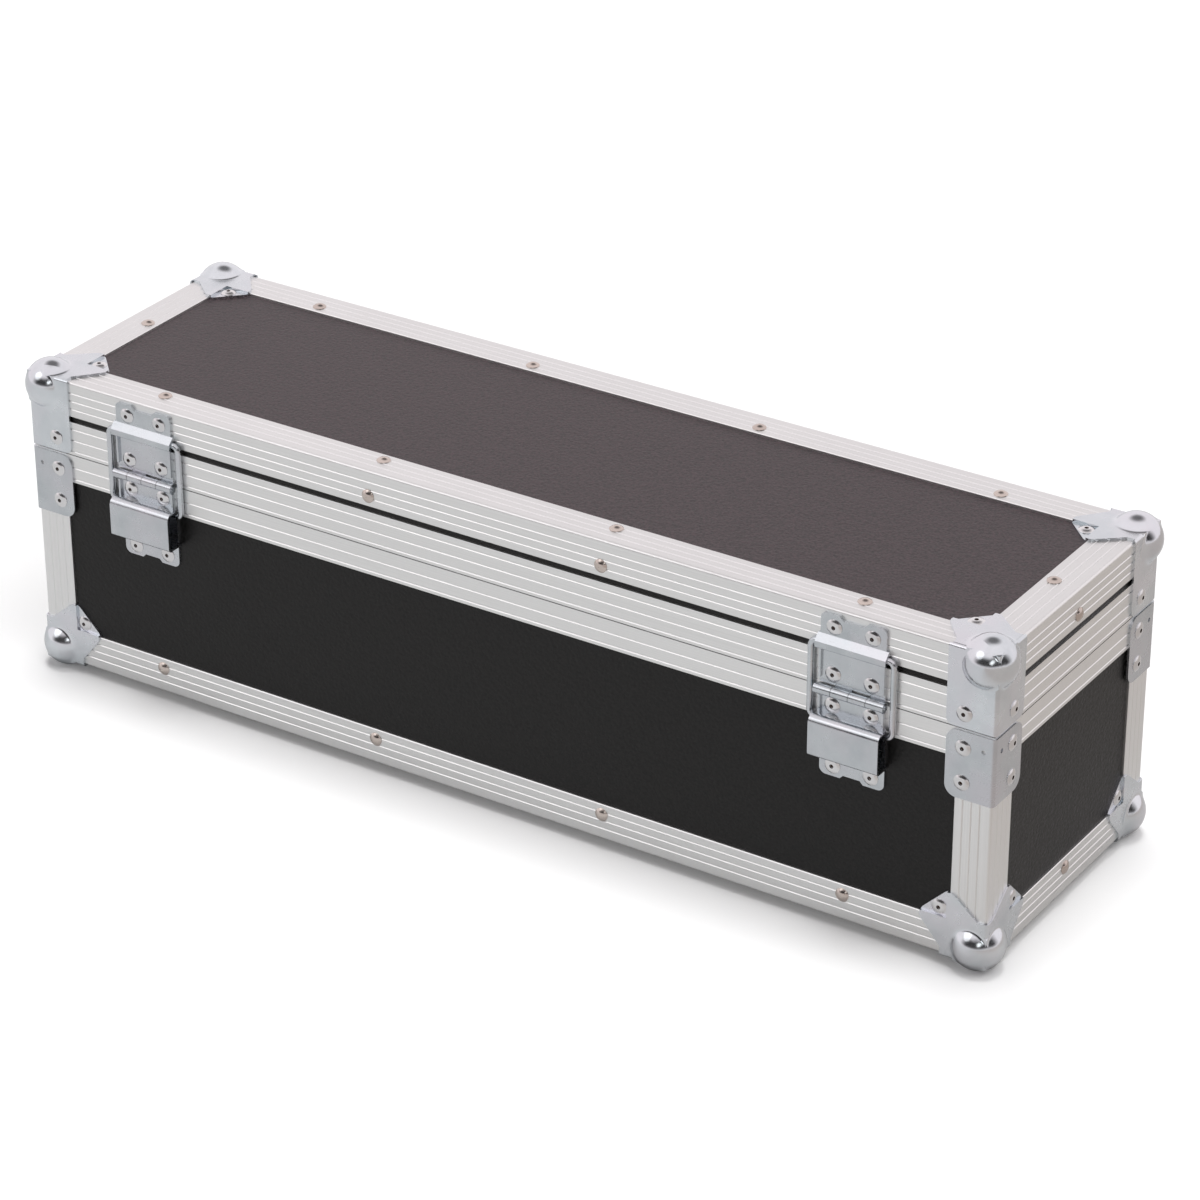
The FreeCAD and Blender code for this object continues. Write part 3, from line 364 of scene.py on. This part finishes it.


# the lid's top film is painted lighter than the wall film: a painted sheen
blackFilm, sheenPaintedFilm = filmFace("blackFilm", film["wall"]), filmFace("sheenPaintedFilm", film["top"])
openFoam, gripPlastic = foamCells(), mouldedGrip()
alloyAlong = [edgeAlloy(axis) for axis in range(3)]
zincSheet, zincWire = zincPlate("zincSheet"), zincPlate("zincWire", zinc["wireTint"])
zincCorner = zincPlate("zincCorner", zinc["cornerTint"], balls=True)
blindHead = rivetMetal("blindHead", rivets["head"], rivets["headDull"])
domedHead = rivetMetal("domedHead", rivets["dome"], rivets["domeDull"])
rivetStubPaintedShade = stubSteelPaintedShade()
print("materials made")


# every CAD node gets its finish
def finishFor(name):
    if "foam" in name:
        return openFoam
    if name == "handle_grip":
        return gripPlastic
    if name == "lid_top_panel":
        return sheenPaintedFilm
    if "panel" in name or "wall" in name:
        return blackFilm
    if "posts" in name:
        return alloyAlong[2]
    if "angle" in name or "rim_" in name:
        return alloyAlong[1 if name.endswith("end") else 0]
    if "ball_corners" in name:
        return zincCorner
    if "rivets" in name:
        return domedHead if "edge" in name else blindHead
    if "bail" in name or "loop" in name or "pins" in name:
        return zincWire
    return zincSheet


for name, node in nodes.items():
    node.data.materials.clear()
    node.data.materials.append(finishFor(name))
print("finishes set on the CAD nodes")


# small helpers for pieces made here
def addPiece(name, bm, material):
    mesh = bpy.data.meshes.new(name)
    bm.to_mesh(mesh)
    bm.free()
    mesh.materials.append(material)
    piece = bpy.data.objects.new(name, mesh)
    scene.collection.objects.link(piece)
    return piece


def aimed(place, way):
    return Matrix.Translation(place) @ way.to_track_quat("Z", "Y").to_matrix().to_4x4()


# the broken end of the pulling pin in the eye of each blind rivet; its dark brown colour is partly
# the steel and partly painted shade for the deep eye
stubs = {"eyeDepth": 0.0009, "radius": 0.00118, "neck": 0.0006, "height": 0.0004, "sides": 10,
         "shank": 0.003, "weld": 1e-6}


# each rivet's own points: the corners that edges join
def looseParts(bm):
    seen, parts = set(), []
    for first in bm.verts:
        if first in seen:
            continue
        seen.add(first)
        stack, points = [first], []
        while stack:
            vert = stack.pop()
            points.append(vert.co.copy())
            near = [edge.other_vert(vert) for edge in vert.link_edges]
            near = [other for other in near if other not in seen]
            seen.update(near)
            stack += near
        parts.append(points)
    return parts


def offAxis(step, axis):
    flat = step.copy()
    flat[axis] = 0
    return flat.length


def rivetHeads(node):
    bm = bmesh.new()
    bm.from_mesh(nodes[node].data)
    bmesh.ops.remove_doubles(bm, verts=bm.verts[:], dist=stubs["weld"])
    heads = []
    for points in looseParts(bm):
        low = Vector([min(p[i] for p in points) for i in range(3)])
        high = Vector([max(p[i] for p in points) for i in range(3)])
        size, middle = high - low, (low + high) / 2
        # the other two sizes span the round head, so they agree best
        axis = min(range(3), key=lambda i: abs(size[i - 1] - size[i - 2]))
        wide = [p[axis] for p in points if offAxis(p - middle, axis) > stubs["shank"]]
        facing = math.copysign(1, sum(wide) / len(wide) - middle[axis])
        way, top = Vector((0, 0, 0)), middle.copy()
        way[axis] = facing
        top[axis] = high[axis] if facing > 0 else low[axis]
        heads.append((top, way))
    bm.free()
    return heads


def makeStubs(body):
    node = body + "_fixing_rivets"
    bm = bmesh.new()
    heads = rivetHeads(node)
    for top, way in heads:
        place = top - way * (stubs["eyeDepth"] - stubs["height"] / 2)
        bmesh.ops.create_cone(bm, cap_ends=True, segments=stubs["sides"], radius1=stubs["radius"],
                              radius2=stubs["neck"], depth=stubs["height"],
                              matrix=aimed(place, way))
    piece = addPiece(body + "_rivet_stubs", bm, rivetStubPaintedShade)
    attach(piece, body)
    print(body, "rivet stubs:", len(heads))


for body in ("base", "lid"):
    makeStubs(body)


# foam lining, one soft-edged pad for each solid
padding = {"wall": 0.010, "round": 0.0022, "roundSteps": 3, "roundProfile": 0.5, "grid": 0.022,
           "wave": 0.0004, "waveSize": 0.07, "rimStart": 0.8, "rimWidth": 0.2, "fill": 0.9}


def foamPad(name, low, high, body, node):
    bm = bmesh.new()
    size, middle = high - low, (low + high) / 2
    block = Matrix.Translation(middle) @ Matrix.Diagonal((*size, 1))
    bmesh.ops.create_cube(bm, size=1, matrix=block)
    bmesh.ops.bevel(bm, geom=bm.edges[:], offset=padding["round"], segments=padding["roundSteps"],
                    profile=padding["roundProfile"], affect="EDGES", material=-1)
    for axis in range(3):
        count = int(size[axis] / padding["grid"])
        normal = Vector([1.0 if i == axis else 0.0 for i in range(3)])
        for step in range(1, count):
            cut = low.copy()
            cut[axis] += size[axis] * step / count
            bmesh.ops.bisect_plane(bm, geom=bm.verts[:] + bm.edges[:] + bm.faces[:], plane_co=cut,
                                   plane_no=normal)
    # the faces sink in a slow wave, from 0 to the full depth
    for vert in bm.verts:
        sink = padding["wave"] * (0.5 + 0.5 * noise.noise(vert.co / padding["waveSize"]))
        for axis in range(3):
            share = (vert.co[axis] - middle[axis]) / (size[axis] / 2)
            nearRim = max(0.0, abs(share) - padding["rimStart"]) / padding["rimWidth"]
            vert.co[axis] -= math.copysign(sink, share) * nearRim
    pad = addPiece(name, bm, openFoam)
    pad.data.polygons.foreach_set("use_smooth", [True] * len(pad.data.polygons))
    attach(pad, body)
    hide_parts(node)


for node, body in (("floor_foam", "base"), ("lid_foam", "lid")):
    foamPad(node + "_pad", *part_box(node), body, node)
for node, axis in (("long_foam", 1), ("end_foam", 0)):
    low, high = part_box(node)
    nearHigh, farLow = high.copy(), low.copy()
    nearHigh[axis] = low[axis] + padding["wall"]
    farLow[axis] = high[axis] - padding["wall"]
    foamPad(node + "_pad_near", low, nearHigh, "base", node)
    foamPad(node + "_pad_far", farLow, high, "base", node)
print("foam pads made")


# plain floor and soft light
white = (1, 1, 1)
studio = {"floorSize": 14.0, "floorWhite": 0.95, "floorGlow": 0.09, "floorBounce": 0.65,
          "floorRoughness": 0.9, "floorRight": (0.78, 0.72, 0.68), "floorFade": (0.22, 0.45),
          "ambient": 0.19, "background": 1.0, "tone": (1.0, 0.945, 0.962), "lampDistance": 3}


# 1 where the camera, a reflection or a clear surface looks, 0 where light is gathered
def litForView(tree):
    path = tree.nodes.new("ShaderNodeLightPath").outputs
    opaque = mathOf(tree, "MAXIMUM", path["Is Camera Ray"], path["Is Glossy Ray"])
    return mathOf(tree, "MAXIMUM", opaque, path["Is Transmission Ray"])


# unlit parts of the room, which only reflections see: a soft band in front of the case and a small
# patch of the ceiling behind it
unlit = {"left": 0.04, "bandWay": (0.545, -0.838, 0.0), "bandRise": (0.02, 0.12),
         "bandFall": (0.48, 0.66), "bandReach": (0.05, 0.45), "ceilingWay": (-0.20, 0.45, 0.87),
         "ceilingReach": (0.90, 0.98), "ceilingShare": 0.85}


def unlitMask(tree):
    way = tree.nodes.new("ShaderNodeTexCoord").outputs["Generated"]
    parts = tree.nodes.new("ShaderNodeSeparateXYZ")
    tree.links.new(way, parts.inputs[0])
    rise = rangeOf(tree, parts.outputs["Z"], 0.0, 1.0, *unlit["bandRise"])
    fall = rangeOf(tree, parts.outputs["Z"], 1.0, 0.0, *unlit["bandFall"])
    facing = vectorOf(tree, "DOT_PRODUCT", "Value", way, unlit["bandWay"])
    sideways = rangeOf(tree, facing, 0.0, 1.0, *unlit["bandReach"])
    band = mathOf(tree, "MULTIPLY", mathOf(tree, "MULTIPLY", rise, fall), sideways)
    above = vectorOf(tree, "DOT_PRODUCT", "Value", way, unlit["ceilingWay"])
    ceiling = rangeOf(tree, above, 0.0, unlit["ceilingShare"], *unlit["ceilingReach"])
    glossy = tree.nodes.new("ShaderNodeLightPath").outputs["Is Glossy Ray"]
    return mathOf(tree, "MULTIPLY", mathOf(tree, "MAXIMUM", band, ceiling), glossy)


def makeWorld():
    world = bpy.data.worlds.new("studioWorld")
    world.use_nodes = True
    tree = world.node_tree
    background = tree.nodes["Background"]
    seen = tree.nodes.new("ShaderNodeLightPath").outputs["Is Camera Ray"]
    tree.links.new(mixColours(tree, seen, studio["tone"], white), background.inputs["Color"])
    strength = rangeOf(tree, litForView(tree), studio["ambient"], studio["background"], 0.0, 1.0)
    dimming = rangeOf(tree, unlitMask(tree), 1.0, unlit["left"], 0.0, 1.0)
    tree.links.new(mathOf(tree, "MULTIPLY", strength, dimming), background.inputs["Strength"])
    scene.world = world


# the camera sees an even white floor, and reflections see a warmer one on the right
def paleFloor():
    material, tree, shader, place = newMaterial(
        "paleFloor", Roughness=studio["floorRoughness"], Specular_IOR_Level=0.0,
        Emission_Color=(*white, 1))
    path = tree.nodes.new("ShaderNodeLightPath").outputs
    across = tree.nodes.new("ShaderNodeSeparateXYZ")
    tree.links.new(place, across.inputs[0])
    camera = path["Is Camera Ray"]
    shade = rangeOf(tree, camera, studio["floorBounce"], studio["floorWhite"], 0.0, 1.0)
    glow = rangeOf(tree, camera, 0.0, studio["floorGlow"], 0.0, 1.0)
    right = rangeOf(tree, across.outputs["X"], 0.0, 1.0, *studio["floorFade"])
    warmth = mathOf(tree, "MULTIPLY", right, path["Is Glossy Ray"])
    total = addNode(tree, "ShaderNodeVectorMath", operation="SCALE")
    tree.links.new(mixColours(tree, warmth, white, studio["floorRight"]), total.inputs[0])
    tree.links.new(shade, total.inputs["Scale"])
    tree.links.new(total.outputs[0], shader.inputs["Base Color"])
    tree.links.new(glow, shader.inputs["Emission Strength"])
    return material


def makeFloor():
    bm = bmesh.new()
    bmesh.ops.create_grid(bm, x_segments=1, y_segments=1, size=studio["floorSize"] / 2)
    floor = addPiece("floor", bm, paleFloor())


# the overhead lamp gives the shadow under the case, and only the left and near lamps show in
# the metal
lamps = {"overhead": {"from": (-0.045, 0.085, 1.0), "spread": 20, "power": 1.72, "mirrored": False},
         "softbox": {"from": (0.43, -0.06, 0.88), "spread": 40, "power": 1.10, "mirrored": False},
         "left": {"from": (-0.483, -0.659, 0.577), "spread": 30, "power": 0.20, "mirrored": True},
         "near": {"from": (0.425, -0.832, 0.355), "spread": 14, "power": 0.08, "mirrored": True}}


def makeLamps():
    for name, lamp in lamps.items():
        light = bpy.data.lights.new(name, "SUN")
        light.angle = math.radians(lamp["spread"])
        light.energy = lamp["power"]
        holder = bpy.data.objects.new(name, light)
        scene.collection.objects.link(holder)
        holder.visible_glossy = lamp["mirrored"]
        way = Vector(lamp["from"]).normalized()
        holder.matrix_world = aimed(way * studio["lampDistance"], way)


view = {"place": (1.15507, -1.73966, 1.20844), "azimuth": 33.193, "elevation": 28.115,
        "roll": -0.203, "lens": 125.68, "sensor": 36.0}


def makeCamera():
    data = bpy.data.cameras.new("photoView")
    data.lens, data.sensor_width = view["lens"], view["sensor"]
    camera = bpy.data.objects.new("photoView", data)
    scene.collection.objects.link(camera)
    turn = (Matrix.Rotation(math.radians(view["azimuth"]), 4, "Z")
            @ Matrix.Rotation(math.radians(90 - view["elevation"]), 4, "X")
            @ Matrix.Rotation(math.radians(view["roll"]), 4, "Z"))
    camera.matrix_world = Matrix.Translation(view["place"]) @ turn
    scene.camera = camera


scene.view_settings.view_transform = "Standard"
makeWorld()
makeFloor()
makeLamps()
makeCamera()
print("studio and camera set")
